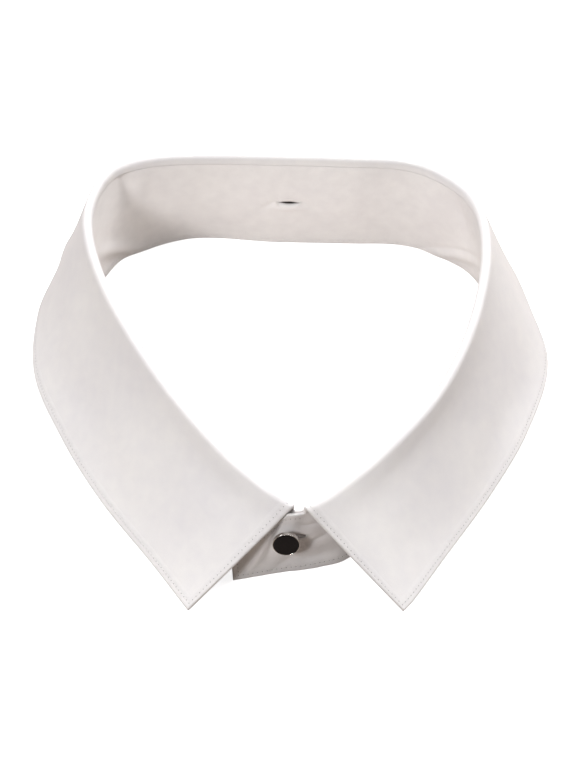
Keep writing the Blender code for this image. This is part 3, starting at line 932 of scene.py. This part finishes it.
def make_fall(plan, surface):
    along = plan.leaf_start + graded(plan.leaf_end - plan.leaf_start, GRID_STEP, EDGE_ROWS)
    width = surface.wide(along)[:, None]
    edge = EDGE_ROWS[::-1]
    body = np.linspace(0, 1, FALL_ROWS)[None, 1:-1]
    down = np.hstack([np.repeat(ROLL_ROWS[None], len(along), 0),
                      ROLL_ROWS[-1] + (width - edge[0] - ROLL_ROWS[-1]) * body,
                      width - edge[None]])
    shares = down / width
    from_ends = np.minimum(along - plan.leaf_start, plan.leaf_end - along)[:, None]
    edge_in = np.minimum(width - down, from_ends)
    fall = cloth_object("fall_cloth", surface, along, shares, edge_in, FALL_COTTON)
    thread = Thread()
    # dark beads of painted shade in the needle holes
    marks = Thread(5, 3)
    for side in (STITCH_LIFT, -STITCH_LIFT):
        run = np.linspace(plan.leaf_start + STITCH_IN, plan.leaf_end - STITCH_IN, 320)
        thread.line(surface, run, 1 - STITCH_IN / surface.wide(run), side, marks)
        for end in (plan.leaf_start + STITCH_IN, plan.leaf_end - STITCH_IN):
            wide = float(surface.wide(np.array([end]))[0])
            share = np.linspace(STITCH_FROM_SEAM / wide, 1 - STITCH_IN / wide, 30)
            thread.line(surface, np.full(30, end), share, side, marks)
    hole_shade = marks.finish("fall_needle_holes_painted_shade", PAINTED_HOLE_SHADE)
    return fall, thread.finish("fall_stitching", THREAD), hole_shade


def stud_place():
    turn = Matrix.Rotation(math.pi / 2 - STUD_TILT, 4, "X")
    spot = Vector((STUD_X, STUD_Y, STUD_HEIGHT)) + PART_SHIFT
    return Matrix.Translation(spot) @ turn


def turned(name, profile, finish):
    """A solid of revolution: profile is radius and height in mm, from the axis to the axis."""
    built = bmesh.new()
    line = [built.verts.new((r * MM, 0, z * MM)) for r, z in profile]
    edges = [built.edges.new(pair) for pair in zip(line, line[1:])]
    bmesh.ops.spin(built, geom=line + edges, axis=(0, 0, 1), cent=(0, 0, 0),
                   angle=2 * math.pi, steps=96, use_merge=True)
    bmesh.ops.remove_doubles(built, verts=built.verts, dist=0.002 * MM)
    bmesh.ops.transform(built, matrix=stud_place(), verts=built.verts)
    bmesh.ops.recalc_face_normals(built, faces=built.faces)
    order_faces(built)
    obj = add_object(name, built, finish)
    obj.data.set_sharp_from_angle(angle=math.radians(40))
    return obj


def arc(cx, cz, radius, start, end, count):
    """Points of an arc of a profile, angles in degrees."""
    angles = np.radians(np.linspace(start, end, count))
    return [(cx + radius * math.cos(a), cz + radius * math.sin(a)) for a in angles]


def make_stud():
    rim = arc(3.51, -0.12, 0.09, 160, -20, 9)
    cup = [(0, -0.95), (3.38, -0.95)] + rim + [(3.6, -0.95)] + arc(3.3, -1.0, 0.3, 0, -90, 6)
    post = [(1.35, -1.3), (1.15, -1.45), (1.1, -1.7), (1.1, -9.2), (1.3, -9.45)]
    back = [(2.8, -9.5)] + arc(2.75, -9.95, 0.45, 80, -90, 8) + [(0, -10.45)]
    metal = turned("stud_rim_and_post", cup + post + back, SILVER)
    dome = [(0, -0.9), (3.38, -0.9), (3.42, -0.2)]
    dome += [(3.42 * math.cos(a), 0.36 * math.sin(a) - 0.06) for a in np.linspace(0.1, math.pi / 2, 12)]
    face = turned("stud_inlay", dome[:-1] + [(0, 0.3)], BLACK)
    return metal, face


FLOOR_BOUNCE = paint(0.42, 0.35, 0.30)      # the floor's colour as the cloth is lit by it
FLOOR_GLOW = 0.85                           # towards the camera only
WORLD_LIGHT = 0.06
LIT_SPOT = (0.0, 0.0, 0.01)
# name, place, size, power
STUDIO_LIGHTS = (
    ("key", (-0.511, -0.640, 0.574), 0.22, 5.2),
    ("left_fill", (-0.76, 0.15, 0.64), 0.4, 1.1),
    ("right_fill", (0.66, 0.24, 0.71), 0.4, 6.4),
    ("back_fill", (0.0, 0.57, 0.82), 0.4, 8.0),
)


def area_light(name, spot, target, size, power, colour=(1.0, 1.0, 1.0)):
    light = bpy.data.lights.new(name, "AREA")
    light.shape = "DISK"
    light.size = size
    light.energy = power
    light.color = colour
    obj = bpy.data.objects.new(name, light)
    obj.location = spot
    obj.rotation_euler = (Vector(target) - Vector(spot)).to_track_quat("-Z", "Y").to_euler()
    obj.visible_camera = False
    bpy.context.scene.collection.objects.link(obj)


def make_studio():
    pale, nodes, shader = new_material("pale_floor", Roughness=0.9, Specular_IOR_Level=0.0,
                                       Emission_Color=paint(1.0, 1.0, 1.0))
    seen = nodes.add("LightPath").outputs["Is Camera Ray"]
    tone = nodes.mix(seen, FLOOR_BOUNCE, paint(0.97, 0.97, 0.97))
    pale.node_tree.links.new(tone, shader.inputs["Base Color"])
    glow = nodes.calc("MULTIPLY", seen, FLOOR_GLOW)
    pale.node_tree.links.new(glow, shader.inputs["Emission Strength"])
    built = bmesh.new()
    bmesh.ops.create_grid(built, x_segments=1, y_segments=1, size=4.0)
    floor = add_object("floor", built, pale, smooth=False)
    world = bpy.data.worlds.new("studio")
    world.use_nodes = True
    backdrop = world.node_tree.nodes["Background"]
    backdrop.inputs["Color"].default_value = paint(1.0, 0.99, 0.985)
    backdrop.inputs["Strength"].default_value = WORLD_LIGHT
    bpy.context.scene.world = world
    for name, spot, size, power in STUDIO_LIGHTS:
        area_light(name, spot, LIT_SPOT, size, power)
    # Stands in for light that pale surroundings throw into the ring
    area_light("inside_fill", (0.004, -0.004, 0.018), (0.002, 0.07, 0.010), 0.02, 0.0135,
               (0.96, 1.0, 1.0))


def make_camera():
    camera = bpy.data.cameras.new("camera")
    camera.sensor_width = SENSOR
    camera.lens = SENSOR * FOCAL_PIXELS / PHOTO_LONG_SIDE
    camera.clip_start = 0.01
    camera.clip_end = 20.0
    obj = bpy.data.objects.new("camera", camera)
    back = Vector((0, -math.cos(VIEW_HEIGHT), math.sin(VIEW_HEIGHT)))
    obj.location = LOOK_AT + PART_SHIFT + back * VIEW_DISTANCE
    obj.rotation_euler = (math.pi / 2 - VIEW_HEIGHT, 0, 0)
    bpy.context.scene.collection.objects.link(obj)
    bpy.context.scene.camera = obj


plan = Plan()
stand_cloth = stand_surface(plan)
fall_cloth = fall_surface(plan)
stand, stand_sewing, stand_marks, buttonholes = make_stand(plan, stand_cloth)
fall, fall_sewing, fall_marks = make_fall(plan, fall_cloth)
metal, face = make_stud()
for piece in (stand, stand_sewing, stand_marks, buttonholes, fall, fall_sewing, fall_marks, metal, face):
    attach(piece, "root")
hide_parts("stand")
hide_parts("fall")
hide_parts("stud")
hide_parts("stud_face")
make_studio()
make_camera()
bpy.context.scene.view_settings.view_transform = "Standard"
